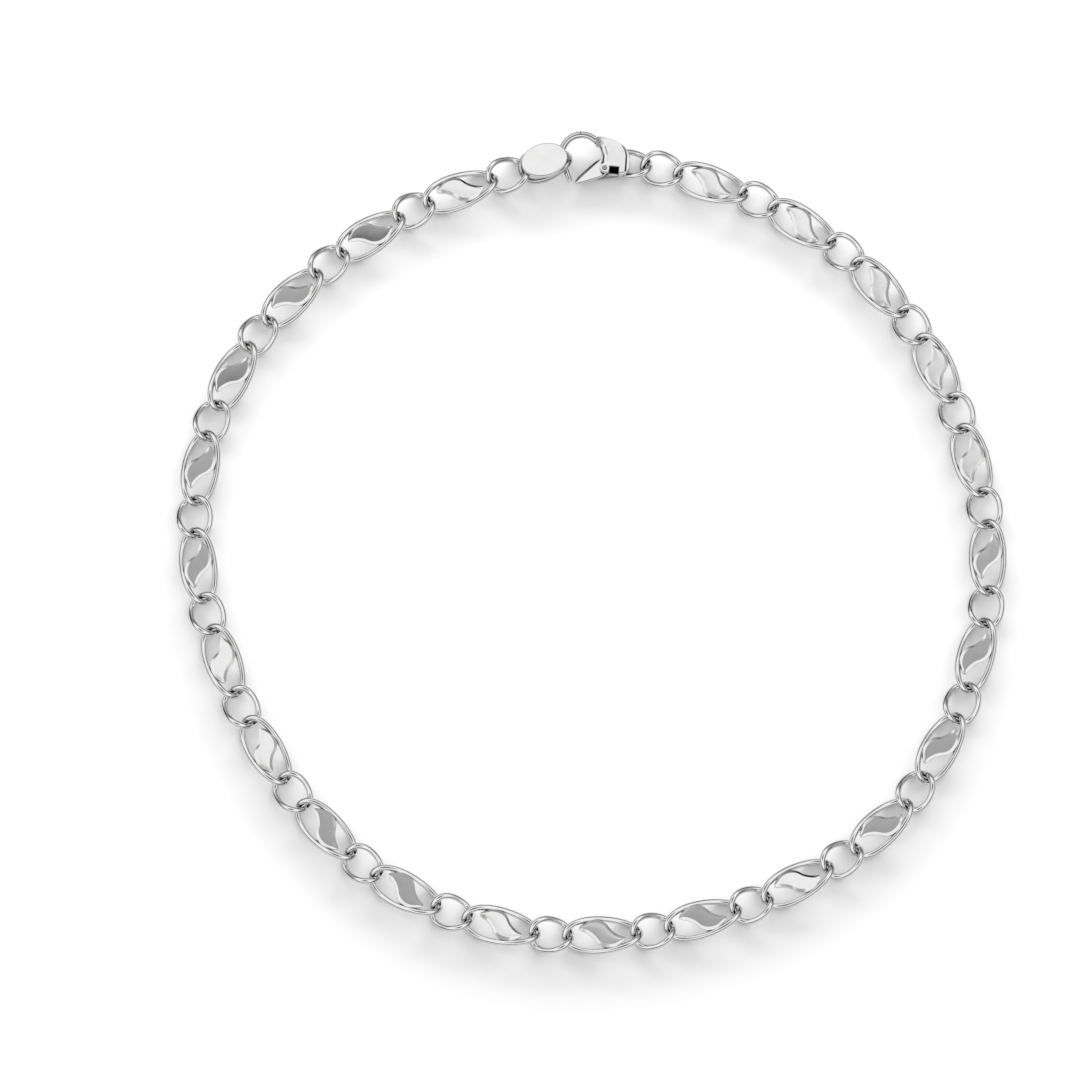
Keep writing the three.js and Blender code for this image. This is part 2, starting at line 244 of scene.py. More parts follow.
def wire(line, radius, sides, closed=True, flat=1.0):
    """A round wire along a line, its radius one number or one for each point. Flat squashes it in z."""
    count = len(line)
    points, faces = [], []
    for n, at in enumerate(line):
        if closed:
            along = line[(n + 1) % count] - line[n - 1]
        else:
            along = line[min(n + 1, count - 1)] - line[max(n - 1, 0)]
        side = along.cross(Vector((0, 0, 1))).normalized()
        up = side.cross(along).normalized()
        size = radius[n] if isinstance(radius, list) else radius
        for k in range(sides):
            angle = math.tau * k / sides
            points.append(at + side * size * math.cos(angle) + up * size * flat * math.sin(angle))
    spans = count if closed else count - 1
    for n in range(spans):
        for k in range(sides):
            after = (k + 1) % sides
            ring, following = n * sides, ((n + 1) % count) * sides
            faces.append((ring + k, ring + after, following + after, following + k))
    if not closed:
        faces.append(tuple(reversed(range(sides))))
        faces.append(tuple(range((count - 1) * sides, count * sides)))
    return points, [tuple(reversed(face)) for face in faces]


def catmull_rom(points, steps):
    """A smooth closed outline through the points."""
    out = []
    count = len(points)
    for n in range(count):
        a, b, c, d = (Vector(points[(n + k - 1) % count]) for k in range(4))
        for s in range(steps):
            t = s / steps
            curve = (2 * a - 5 * b + 4 * c - d) * t * t + (3 * b - a - 3 * c + d) * t**3
            out.append(0.5 * (2 * b + (c - a) * t + curve))
    return out


def rounded_corners(points, rounds):
    """An outline with its corners cut off again and again, which rounds them."""
    points = [Vector(p) for p in points]
    for _ in range(rounds):
        cut = []
        for n, p in enumerate(points):
            following = points[(n + 1) % len(points)]
            cut += [p.lerp(following, CORNER_CUT), p.lerp(following, 1 - CORNER_CUT)]
        points = cut
    return points


def drawn_in(outline, distances):
    """The outline drawn in by each distance in turn, and less at points where it is too narrow for that."""
    points = np.array([tuple(p) for p in outline])
    spans = np.roll(points, -1, axis=0) - points
    along = np.roll(points, -1, axis=0) - np.roll(points, 1, axis=0)
    along /= np.linalg.norm(along, axis=1)[:, None]
    inward = np.stack([-along[:, 1], along[:, 0]], axis=1)
    room = np.zeros(len(points))
    stride = max(distances) / (DRAWING_STEPS - 1)
    for step in np.linspace(0, max(distances), DRAWING_STEPS):
        moved_in = points + inward * step
        reach = moved_in[:, None] - points[None]
        share = np.clip((reach * spans).sum(2) / (spans**2).sum(1), 0, 1)
        nearest = np.linalg.norm(reach - share[:, :, None] * spans, axis=2).min(1)
        free = (nearest >= DRAWING_SLACK * step) & (room >= step - stride - 1e-9)
        room[free] = step
    steps_in = [np.minimum(room, distance)[:, None] for distance in distances]
    return [[Vector(p) for p in points + inward * step_in] for step_in in steps_in]


def plate(outline, low, high, bevel, under=None):
    """A level plate of an anticlockwise outline, its upper edge rounded by bevel and its lower edge by under.

    A narrow ring round each face keeps that face flat to its rim.
    """
    under = bevel if under is None else under
    count = len(outline)
    rings = []
    for width, face, up in [(under, low, 1), (bevel, high, -1)]:
        side = [
            (width * (1 - math.cos(a)), face + up * width * (1 - math.sin(a)))
            for a in [math.pi / 2 * step / BEVEL_STEPS for step in range(BEVEL_STEPS + 1)]
        ]
        side.append((width + FACE_RIM, face))
        rings += list(reversed(side)) if up == 1 else side
    outlines = drawn_in(outline, [width for width, _ in rings])
    points = [Vector((p.x, p.y, z)) for ring, (_, z) in zip(outlines, rings) for p in ring]
    faces = []
    for n in range(len(rings) - 1):
        for k in range(count):
            after = (k + 1) % count
            faces.append((n * count + k, n * count + after, (n + 1) * count + after, (n + 1) * count + k))
    faces.append(tuple(reversed(range(count))))
    faces.append(tuple(range((len(rings) - 1) * count, len(rings) * count)))
    return points, faces


def block(outline, low, high):
    """A plain prism of an outline, to cut with."""
    count = len(outline)
    points = [Vector((p[0], p[1], z)) for z in (low, high) for p in outline]
    faces = [(k, (k + 1) % count, count + (k + 1) % count, count + k) for k in range(count)]
    return points, [*faces, tuple(reversed(range(count))), tuple(range(count, 2 * count))]


def round_outline(radius, x, y):
    turns = [math.tau * k / ROUND_SIDES for k in range(ROUND_SIDES)]
    return [Vector((x + radius * math.cos(turn), y + radius * math.sin(turn))) for turn in turns]


def joined(*shapes):
    points, faces = [], []
    for more_points, more_faces in shapes:
        first = len(points)
        points += more_points
        faces += [tuple(first + k for k in face) for face in more_faces]
    return points, faces


def moved(shape, *matrices):
    move = Matrix.Identity(4)
    for matrix in matrices:
        move = matrix @ move
    return [move @ point for point in shape[0]], shape[1]


def turned(degrees, axis):
    return Matrix.Rotation(math.radians(degrees), 4, axis)


def shifted(x, y, z):
    return Matrix.Translation((x, y, z))


def lowest(shape):
    return min(point.z for point in shape[0])


def mesh_of(name, shape, scale=1.0):
    mesh = bpy.data.meshes.new(name)
    mesh.from_pydata([tuple(point * scale) for point in shape[0]], [], shape[1])
    mesh.validate()
    work = bmesh.new()
    work.from_mesh(mesh)
    bmesh.ops.recalc_face_normals(work, faces=work.faces)
    work.to_mesh(mesh)
    work.free()
    return mesh


def scratch_object(name, shape):
    thing = bpy.data.objects.new(name, mesh_of(name, shape))
    bpy.context.scene.collection.objects.link(thing)
    return thing


def shape_of(thing):
    """The points and faces of an object with its modifiers applied."""
    graph = bpy.context.evaluated_depsgraph_get()
    evaluated = thing.evaluated_get(graph)
    mesh = evaluated.to_mesh()
    shape = ([v.co.copy() for v in mesh.vertices], [tuple(p.vertices) for p in mesh.polygons])
    evaluated.to_mesh_clear()
    return shape


def cut_from(shape, *tools):
    """The shape with each tool cut off it."""
    thing = scratch_object("uncut", shape)
    cutters = [scratch_object("cutter", tool) for tool in tools]
    for cutter in cutters:
        boolean = thing.modifiers.new("cut", "BOOLEAN")
        boolean.operation = "DIFFERENCE"
        boolean.solver = "EXACT"
        boolean.object = cutter
    result = shape_of(thing)
    for scratch in [thing, *cutters]:
        bpy.data.objects.remove(scratch)
    return result


def cast(shape, grain, softness):
    """One closed skin round overlapping shapes, with its edges softened as a casting's are."""
    thing = scratch_object("uncast", shape)
    remesh = thing.modifiers.new("skin", "REMESH")
    remesh.mode = "VOXEL"
    remesh.voxel_size = grain
    smooth = thing.modifiers.new("soften", "SMOOTH")
    smooth.factor = 0.5
    smooth.iterations = softness
    result = shape_of(thing)
    bpy.data.objects.remove(thing)
    return result


# The loop: pieces in order, each a chord of the route as long as its reach


def reach_of(size):
    return size[0] - 2 * size[2] - LINK_PLAY


def on_route(radius, bearing):
    step = 360 / len(ROUTE)
    place = (bearing % 360) / step
    before = int(place)
    part = place - before
    share = ROUTE[before] + (ROUTE[(before + 1) % len(ROUTE)] - ROUTE[before]) * part * part * (3 - 2 * part)
    angle = math.radians(bearing)
    return Vector((math.cos(angle), math.sin(angle))) * radius * share


def solved(low, high, is_below):
    for _ in range(SOLVING_STEPS):
        middle = (low + high) / 2
        if is_below(middle):
            low = middle
        else:
            high = middle
    return (low + high) / 2


def bearings_of(reaches, radius):
    bearings = [FIRST_BEARING]
    for reach in reaches:
        start = on_route(radius, bearings[-1])
        bearings.append(
            solved(bearings[-1], bearings[-1] + 90, lambda b: (on_route(radius, b) - start).length < reach)
        )
    return bearings


def loop_places():
    """Where each piece sits: its node's name, the middle of its chord and the chord's bearing."""
    names = ["clasp", "tag"]
    reaches = [CLASP_REACH - LINK_PLAY - CLAW_PLAY, reach_of(TAG_LINK)]
    for n in range(1, ROUND_LINKS + 1):
        names.append(f"round_link_{n:02d}")
        reaches.append(reach_of(ROUND_LINK))
        if n < ROUND_LINKS:
            names.append(f"navette_link_{n:02d}")
            reaches.append(reach_of(EYE_LINK))
    mean = sum(reaches) / math.tau
    radius = solved(mean / 2, mean * 2, lambda r: bearings_of(reaches, r)[-1] > FIRST_BEARING + 360)
    bearings = bearings_of(reaches, radius)
    places = {}
    for name, start, end in zip(names, bearings, bearings[1:]):
        behind, ahead = on_route(radius, start), on_route(radius, end)
        chord = ahead - behind
        places[name] = ((behind + ahead) / 2, math.degrees(math.atan2(chord.y, chord.x)))
    low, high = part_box("round_link_12")
    shift = (low + high).xy / 2 / MM - places["round_link_12"][0]
    return {name: (middle + shift, bearing) for name, (middle, bearing) in places.items()}


PLACES = loop_places()


def set_in_loop(shape, place, rise=None):
    """The shape on its chord of the loop, on the surface unless its rise is given."""
    middle, bearing = PLACES[place]
    rise = -lowest(shape) if rise is None else rise
    return moved(shape, turned(bearing, "Z"), shifted(middle.x, middle.y, rise))


def finished(name, shape, materials, body, slot, *nodes, sharp=SHARP_EDGE):
    """A piece of the bracelet in the frame's metres, which stands for its nodes and rides on its body."""
    mesh = mesh_of(name, shape, MM)
    for material in materials:
        mesh.materials.append(material)
    mesh.shade_smooth()
    mesh.set_sharp_from_angle(angle=math.radians(sharp))
    piece = bpy.data.objects.new(name, mesh)
    bpy.context.scene.collection.objects.link(piece)
    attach(piece, body)
    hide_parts(*nodes)
    return piece


# Materials


def nodes_of(material):
    material.use_nodes = True
    tree = material.node_tree
    tree.nodes.clear()

    def node(kind, **settings):
        made = tree.nodes.new(kind)
        for key, value in settings.items():
            if key in made.inputs:
                made.inputs[key].default_value = value
            else:
                setattr(made, key, value)
        return made

    return tree, node


def polished_silver(name, finish, scratch_depth, wear, darker=1, roughness=None, reach=CHAIN_PAINTED_SHADE_REACH):
    """Polished silver: clouded by handling, with painted shade deep in its gaps, fine scratches and small
    dents.
    """
    material = bpy.data.materials.new(name)
    tree, node = nodes_of(material)
    link = tree.links.new
    where = node("ShaderNodeTexCoord").outputs["Object"]
    tone = finish.tone * darker

    def noise(place, **settings):
        made = node("ShaderNodeTexNoise", **settings)
        link(place, made.inputs["Vector"])
        return made.outputs["Fac"]

    def ramp(value, *stops):
        made = node("ShaderNodeValToRGB")
        for element, (position, colour) in zip(made.color_ramp.elements, stops):
            element.position = position
            element.color = (*colour, 1)
        link(value, made.inputs["Fac"])
        return made.outputs["Color"]

    clouds = noise(where, Scale=900.0, Detail=4.0, Roughness=0.55)
    hue = ramp(clouds, (0.3, (tone * 0.94, tone * 0.94, tone * 0.935)), (0.7, (tone, tone, tone * 0.997)))
    # Painted shade: the colour is darkened near the walls of gaps and between parts, where shade falls
    open_air = node("ShaderNodeAmbientOcclusion", Distance=reach, samples=8)
    painted_gap_shade = ramp(open_air.outputs["AO"], (0.3, (0.05, 0.05, 0.05)), (0.72, (1, 1, 1)))
    colour = node("ShaderNodeMix", data_type="RGBA", blend_type="MULTIPLY")
    colour.inputs["Factor"].default_value = 1.0
    link(hue, colour.inputs["A"])
    link(painted_gap_shade, colour.inputs["B"])

    smears = noise(where, Scale=1700.0, Detail=5.0, Roughness=0.6, Distortion=0.6)
    bright, dull = roughness or (finish.bright, finish.dull)
    span = {"From Min": 0.3, "From Max": 0.75, "To Min": bright, "To Max": dull}
    gloss = node("ShaderNodeMapRange", **span)
    link(smears, gloss.inputs["Value"])

    stretch = node("ShaderNodeMapping", Scale=(1.0, 9.0, 9.0), Rotation=(0.2, 0.1, 0.6))
    link(where, stretch.inputs["Vector"])
    lines = node("ShaderNodeBump", Strength=scratch_depth, Distance=0.000004)
    link(noise(stretch.outputs["Vector"], Scale=4200.0, Detail=6.0, Roughness=0.7), lines.inputs["Height"])
    uneven = node("ShaderNodeBump", Strength=wear, Distance=0.00001)
    link(noise(where, Scale=2300.0, Detail=2.0, Roughness=0.4), uneven.inputs["Height"])
    link(lines.outputs["Normal"], uneven.inputs["Normal"])

    surface = node("ShaderNodeBsdfPrincipled", Metallic=1.0)
    link(colour.outputs["Result"], surface.inputs["Base Color"])
    link(gloss.outputs["Result"], surface.inputs["Roughness"])
    link(uneven.outputs["Normal"], surface.inputs["Normal"])
    out = node("ShaderNodeOutputMaterial")
    link(surface.outputs["BSDF"], out.inputs["Surface"])
    return material


def second_silver_after(piece, first):
    """Give the faces that follow the first shape's the piece's second material."""
    for polygon in piece.data.polygons[len(first[1]):]:
        polygon.material_index = 1


class BraceletFinish(bpy.types.PropertyGroup):
    """How polished the silver is."""

    tone: bpy.props.FloatProperty(
        name="Tone", description="How light the silver is", default=0.72, min=0.3, max=1
    )
    bright: bpy.props.FloatProperty(
        name="Polish", description="Roughness of the brightest silver", default=0.06, min=0.02, max=0.6
    )
    dull: bpy.props.FloatProperty(
        name="Handling",
        description="Roughness of the silver where it is handled",
        default=0.14,
        min=0.02,
        max=0.8,
    )


class BraceletShape(bpy.types.PropertyGroup):
    """How finely the pieces are cut."""

    link_steps: bpy.props.IntProperty(
        name="Link steps", description="Steps round a link", default=56, min=12, max=200
    )
    wire_sides: bpy.props.IntProperty(
        name="Wire sides", description="Sides of the wire", default=24, min=6, max=48
    )
    leaf_edge: bpy.props.FloatProperty(
        name="Leaf edge", description="Width of a leaf's sloping edge", default=0.27, min=0.02, max=0.3
    )
    grain: bpy.props.FloatProperty(
        name="Casting grain", description="Size of the facets of a cast skin", default=0.03, min=0.01, max=0.2
    )


class BraceletStage(bpy.types.PropertyGroup):
    """Floor, light and camera."""

    camera_height: bpy.props.FloatProperty(
        name="Camera elevation",
        description="Angle of the view above the floor",
        default=math.radians(75.7),
        subtype="ANGLE",
        unit="ROTATION",
    )
    camera_turn: bpy.props.FloatProperty(
        name="Camera turn",
        description="Angle of the view round the bracelet",
        default=math.radians(-0.82),
        subtype="ANGLE",
        unit="ROTATION",
    )
    camera_distance: bpy.props.FloatProperty(
        name="Camera distance", description="From the camera to the bracelet", default=1.5, unit="LENGTH"
    )
    floor_tone: bpy.props.FloatProperty(name="Floor tone", description="How light the floor is", default=0.5)
    floor_glow: bpy.props.FloatProperty(
        name="Floor glow", description="How brightly the table is lit from below", default=0.245
    )


class BRACELET_OT_round_links(bpy.types.Operator):
    """Make the round links"""

    bl_idname = "bracelet.round_links"
    bl_label = "Round links"

    def execute(self, context):
        shape = context.scene.bracelet_shape
        finish = context.scene.bracelet_finish
        silver = polished_silver("wire_silver", finish, 0.35, 0.3)
        line = link_line(ROUND_LINK, LINK_TWIST, LINK_TWIST, shape.link_steps)
        link = wire(line, ROUND_LINK[2] / 2, shape.wire_sides)
        for n in range(1, ROUND_LINKS + 1):
            name = f"round_link_{n:02d}"
            finished(f"round_wire_{n:02d}", set_in_loop(link, name), [silver], "bracelet", "round_link", name)
        return {"FINISHED"}


def leaf(shape, bearing, lean):
    """A leaf plate in its link's frame, leaning about its own middle."""
    length, width, thickness = LEAF_SIZE
    edge = [Vector((along * length / 2, across * width / 2)) for along, across in LEAF_EDGE]
    outline = catmull_rom(edge + [-p for p in edge], LEAF_STEPS)
    half = thickness / 2
    count = len(outline) // 2
    points, faces = [], []
    for n in range(count + 1):
        lower, upper = outline[-n], outline[n]
        span = (upper - lower).length
        border = min(shape.leaf_edge, LEAF_MOST_BORDER * span)
        drop = LEAF_BORDER_DROP * border / shape.leaf_edge
        rise = LEAF_CAMBER * min(1, span / width)
        middle = (span - 2 * border) / 2
        profile = [(0, -half), (0, half - drop - 2 * LEAF_CREASE), (LEAF_CREASE, half - drop)]
        profile.append((border - LEAF_CREASE, half))
        for k in range(LEAF_CAMBER_STEPS + 1):
            share = k / LEAF_CAMBER_STEPS
            profile.append((border + LEAF_RIM + middle * share, half + rise * (1 - (1 - share) ** 2)))
        profile += [(span - away, height) for away, height in reversed(profile[:-1])]
        for away, height in profile:
            place = lower.lerp(upper, min(1, max(0, away / span))) if span > 1e-6 else lower
            points.append(Vector((place.x, place.y, height)))
    rows = len(points) // (count + 1)
    for n in range(count):
        for k in range(rows):
            after = (k + 1) % rows
            faces.append((n * rows + k, (n + 1) * rows + k, (n + 1) * rows + after, n * rows + after))
    level = points, faces
    along, across = lean
    leaning = (turned(bearing, "Z"), turned(along, "Y"), turned(-across, "X"), turned(-bearing, "Z"))
    return moved(level, *leaning, shifted(0, 0, LEAF_RISE))


class BRACELET_OT_eye_links(bpy.types.Operator):
    """Make the eye-shaped links with their leaves"""

    bl_idname = "bracelet.eye_links"
    bl_label = "Eye-shaped links"

    def execute(self, context):
        shape = context.scene.bracelet_shape
        finish = context.scene.bracelet_finish
        rail_silver = polished_silver("rail_silver", finish, 0.35, 0.3)
        leaf_silver = polished_silver("leaf_silver", finish, 0.2, 0.12)
        line = link_line(EYE_LINK, LINK_TWIST, LINK_TWIST, shape.link_steps)
        rail = wire(line, EYE_LINK[2] / 2, shape.wire_sides)
        for n, lean in enumerate(LEAF_LEANS, 1):
            name = f"navette_link_{n:02d}"
            whole = joined(rail, leaf(shape, PLACES[name][1], lean))
            piece = finished(
                f"eye_link_{n:02d}",
                set_in_loop(whole, name),
                [rail_silver, leaf_silver],
                "bracelet",
                "eye_link",
                name,
                sharp=LEAF_SHARP_EDGE,
            )
            second_silver_after(piece, rail)
        return {"FINISHED"}


class BRACELET_OT_tag(bpy.types.Operator):
    """Make the oval tag on its end link"""

    bl_idname = "bracelet.tag"
    bl_label = "Tag"

    def execute(self, context):
        shape = context.scene.bracelet_shape
        finish = context.scene.bracelet_finish
        # Painted shade: the tag's ring gets a darker copy of the silver, standing in for the shade along the
        # tag's lower wall
        shaded_ring_silver = polished_silver("tag_ring_silver", finish, 0.35, 0.3, darker=0.7)
        face_silver = polished_silver("tag_silver", finish, 0.25, 0.2)
        ahead, behind = TAG_TWIST
        ring = wire(link_line(TAG_LINK, ahead, behind, shape.link_steps), TAG_LINK[2] / 2, shape.wire_sides)
        lean = math.degrees(math.atan((slope_of(behind) - slope_of(ahead)) / 2))
        half_twist = (slope_of(behind) + slope_of(ahead)) / 2
        rise = (TAG_LINK[1] - TAG_LINK[2]) / 4 * half_twist * math.cos(math.radians(lean))
        length, width, thickness = TAG_PLATE
        turns = [math.tau * k / TAG_SIDES for k in range(TAG_SIDES)]
        oval = [Vector((length / 2 * math.cos(turn), width / 2 * math.sin(turn))) for turn in turns]
        face = moved(plate(oval, rise, rise + thickness, TAG_BEVEL), turned(lean, "X"))
        whole = moved(joined(ring, face), turned(TAG_ROLL, "X"), turned(TAG_PITCH, "Y"))
        silvers = [shaded_ring_silver, face_silver]
        piece = finished("oval_tag", set_in_loop(whole, "tag"), silvers, "bracelet", "tag", "tag")
        second_silver_after(piece, ring)
        return {"FINISHED"}


def claw_line():
    """The middle of the claw's wire from its root in the body to its tip, and its radius there."""
    centre = Vector((CLASP_REACH / 2 + CLAW_WIRE - CLAW_RADIUS, -CLAW_SHIFT, 0))
    middle = CLAW_RADIUS - CLAW_WIRE / 2
    line, sizes = [], []
    for n in range(CLAW_TURNS + 1):
        angle = math.radians(CLAW_START + (CLAW_ARC - CLAW_START) * n / CLAW_TURNS)
        line.append(centre + Vector((math.cos(angle), math.sin(angle), 0)) * middle)
        sizes.append(CLAW_WIRE / 2)
    last = math.radians(CLAW_ARC)
    ahead = Vector((-math.sin(last), math.cos(last), 0))
    outward = Vector((math.cos(last), math.sin(last), 0))
    end = line[-1]
    for n in range(1, CLAW_STEPS + 1):
        share = n / CLAW_STEPS
        across = CLAW_WIRE + (CLAW_TIP - CLAW_WIRE) * share
        line.append(end + ahead * CLAW_STRAIGHT * share + outward * (CLAW_WIRE - across) / 2)
        sizes.append(across / 2)
    sizes[-1] *= CLAW_END
    return line, sizes


def box_between(low, high, z_low, z_high):
    return block([low, (high[0], low[1]), high, (low[0], high[1])], z_low, z_high)


def pin_hole(x, y):
    return block(round_outline(PIN_RADIUS + PIN_PLAY, x, y), -CLASP_THICKNESS, CLASP_THICKNESS)


def fall_away():
    """What is cut off above the body where it falls away towards the claw's root."""
    level = CLASP_THICKNESS / 2
    drop = BODY_LENGTH * slope_of(ROOT_SLOPE)
    profile = [
        Vector((ROOT_START, level)),
        Vector((ROOT_START + BODY_LENGTH, level - drop)),
        Vector((ROOT_START + BODY_LENGTH, 2 * level)),
        Vector((ROOT_START, 2 * level)),
    ]
    wedge = block(profile, -BODY_WIDTH, BODY_WIDTH)
    return moved(wedge, turned(90, "X"), turned(ROOT_BEARING, "Z"))


def rounding(point, line, size):
    """How deep an edge along a line is rounded off at a point, for the width and depth of the rounding."""
    reach, depth = size
    gap = reach
    for start, end in zip(line, line[1:]):
        start, end = Vector((*start, 0)), Vector((*end, 0))
        at, share = intersect_point_line(Vector((point.x, point.y, 0)), start, end)
        share = min(1, max(0, share))
        gap = min(gap, (start.lerp(end, share) - Vector((point.x, point.y, 0))).length)
    return depth * (1 - gap / reach) ** 2


def falling(shape, level):
    """The shape with the top of the body above a level made to fall away from the body's inner edge."""
    half = CLASP_THICKNESS / 2
    points = []
    for p in shape[0]:
        blend = min(1, max(0, (p.x + BODY_BEHIND) / BACK_BLEND + 0.5))
        share = max(0, (p.z - level) / (half - level)) * blend
        fall = slope_of(TOP_FALL) * (PIN_INWARD + LUG_RADIUS - p.y)
        fall += slope_of(BACK_FALL) * (CHEEK_AHEAD - p.x)
        fall = max(0, fall) + rounding(p, MOUTH_EDGE, MOUTH_ROUND)
        points.append(Vector((p.x, p.y, p.z - share * min(fall, MOST_FALL * (half - level)))))
    return points, shape[1]


def shelf_leaning(shape):
    """The body with its lower cheek made to lean where it shows beside the lever."""
    width, height = SHELF_BLEND
    level = CHEEK - CLASP_THICKNESS / 2
    points = []
    for p in shape[0]:
        share = max(0, 1 - abs(p.z - level) / height)
        share *= min(1, max(0, p.y / width)) if -SLOT_BACK < p.x < CLAW_RADIUS else 0
        fall = slope_of(SHELF_FALL) * max(0, PIN_INWARD + LUG_RADIUS - p.y)
        points.append(Vector((p.x, p.y, p.z - share * fall)))
    return points, shape[1]


def strip(line, width, low, high):
    """A prism along a line, to cut a groove with."""
    line = [Vector(p) for p in line]
    left, right = [], []
    for n, p in enumerate(line):
        along = (line[min(n + 1, len(line) - 1)] - line[max(n - 1, 0)]).normalized()
        across = Vector((-along.y, along.x)) * width / 2
        left.append(p + across)
        right.append(p - across)
    return block(right + left[::-1], low, high)


def clasp_body(grain):
    """The body with its claw, pin hole, groove and seam mark, and the end ring behind it."""
    outline = [
        Vector((along * BODY_LENGTH - BODY_BEHIND, across * BODY_WIDTH / 2)) for along, across in BODY_OUTLINE
    ]
    half = CLASP_THICKNESS / 2
    far = 2 * BODY_LENGTH
    slab = plate(rounded_corners(outline, BODY_ROUNDS), -half, half, BODY_BEVEL, under=UNDER_BEVEL)
    slot = box_between((-SLOT_BACK, -SLOT_WALL), (far, BODY_WIDTH), CHEEK - half, half - CHEEK)
    low, high = half - CHEEK - SLOT_CUT, CLASP_THICKNESS
    above = box_between((-SLOT_BACK, CHEEK_INWARD), (far, BODY_WIDTH), low, high)
    ahead = box_between((CHEEK_AHEAD, -SLOT_WALL / 2), (far, BODY_WIDTH), low, high)
    under = moved(fall_away(), turned(180, "X"), turned(2 * ROOT_BEARING, "Z"))
    slab = cut_from(slab, slot, above, ahead, fall_away(), under)
    lug = plate(round_outline(LUG_RADIUS, PIN_AHEAD, PIN_INWARD), half - CHEEK, half, LUG_BEVEL)
    line, sizes = claw_line()
    claw = wire(line, sizes, CAST_SIDES, closed=False, flat=CLAW_THICKNESS / CLAW_WIRE)
    skin = shelf_leaning(falling(cast(joined(slab, lug, claw), grain, BODY_SOFTNESS), half - CHEEK))
    hole = pin_hole(PIN_AHEAD, PIN_INWARD)
    width, depth = STEP_GROOVE
    step = falling(strip(STEP_LINE, width, half - depth, half + STEP_ABOVE), half - CHEEK)
    centre = Vector((CLASP_REACH / 2 + CLAW_WIRE - CLAW_RADIUS, -CLAW_SHIFT))
    bearing = math.radians(SEAM_BEARING)
    outward = Vector((math.cos(bearing), math.sin(bearing)))
    ends = [centre + outward * (CLAW_RADIUS - share * CLAW_WIRE) for share in SEAM_SPAN]
    seam = strip(ends, SEAM_WIDTH, SEAM_LEVEL, CLASP_THICKNESS)
    return joined(cut_from(skin, hole, step, seam), end_ring())


def end_ring():
    """The fixed ring behind the clasp, its wire ending inside the body."""
    line = link_line(END_RING, LINK_TWIST, LINK_TWIST - CLASP_ROLL, RING_STEPS)
    ring = wire(line, END_RING[2] / 2, CAST_SIDES)
    back = (END_RING[0] - CLASP_REACH) / 2 - END_RING[2]
    far = 2 * BODY_LENGTH
    inside = box_between((-SLOT_BACK - RING_ROOT, -BODY_WIDTH), (far, BODY_WIDTH), -far, far)
    return cut_from(moved(ring, shifted(back, 0, -END_RING_DROP)), inside)


def clasp_lever(grain):
    """The lever in its closed place, its top falling away from the shoulder and round at its inner edge."""
    thickness = CLASP_THICKNESS - 2 * CHEEK - 2 * LEVER_PLAY
    outline = [
        Vector(point)
        for point in [
            (-LEVER_BEHIND, -LEVER_ROOT),
            (LEVER_REACH, -LEVER_TIP / 2),
            (LEVER_REACH, LEVER_TIP / 2),
            (HUB_RADIUS, HUB_SHOULDER),
            (0, HUB_RADIUS),
            (-HUB_RADIUS, 0),
        ]
    ]
    arm = plate(rounded_corners(outline, LEVER_ROUNDS), -thickness / 2, thickness / 2, LEVER_BEVEL)
    hub = plate(round_outline(HUB_RADIUS, 0, 0), -thickness / 2, thickness / 2, HUB_BEVEL)
    hole = pin_hole(0, 0)
    skin = cast(joined(arm, hub), grain, LEVER_SOFTNESS)
    upper_edge = [(-LEVER_BEHIND, -LEVER_ROOT), (LEVER_REACH, -LEVER_TIP / 2)]
    for p in skin[0]:
        fall = slope_of(LEVER_FALL) * max(0, HUB_SHOULDER - p.y)
        fall += rounding(p, upper_edge, LEVER_ROUND)
        p.z -= max(0, 2 * p.z / thickness) * fall
    lever = cut_from(skin, hole)
    return moved(lever, turned(LEVER_SLANT, "Z"), shifted(PIN_AHEAD, PIN_INWARD, 0))


class BRACELET_OT_clasp(bpy.types.Operator):
    """Make the clasp: its body with the claw and end ring, its lever and its pin"""

    bl_idname = "bracelet.clasp"
    bl_label = "Clasp"

    def execute(self, context):
        grain = context.scene.bracelet_shape.grain
        finish = context.scene.bracelet_finish
        cast_silver = polished_silver("cast_silver", finish, 0.3, 0.35, reach=CAST_PAINTED_SHADE_REACH)
        lever_silver = polished_silver("lever_silver", finish, 0.3, 0.3)
        pin_silver = polished_silver("pin_silver", finish, 0.4, 0.3, darker=0.97, roughness=(0.18, 0.3))
        low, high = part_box("clasp_pin")
        rise = (low.z + high.z) / 2 / MM - PIN_INWARD * math.sin(math.radians(CLASP_ROLL))
        lean = (turned(CLASP_ROLL, "X"), shifted(CLAW_PLAY / 2, 0, 0))
        half = CLASP_THICKNESS / 2
        pin = plate(round_outline(PIN_RADIUS, PIN_AHEAD, PIN_INWARD), -half, half, PIN_BEVEL)
        for name, shape, silver, body, slot, node in [
            ("claw_body", clasp_body(grain), cast_silver, "bracelet", "clasp", "clasp_body"),
            ("claw_lever", clasp_lever(grain), lever_silver, "lever", "clasp_lever", "clasp_lever"),
            ("claw_pin", pin, pin_silver, "bracelet", "clasp_pin", "clasp_pin"),
        ]:
            placed = set_in_loop(moved(shape, *lean), "clasp", rise)
            finished(name, placed, [silver], body, slot, node)
        return {"FINISHED"}


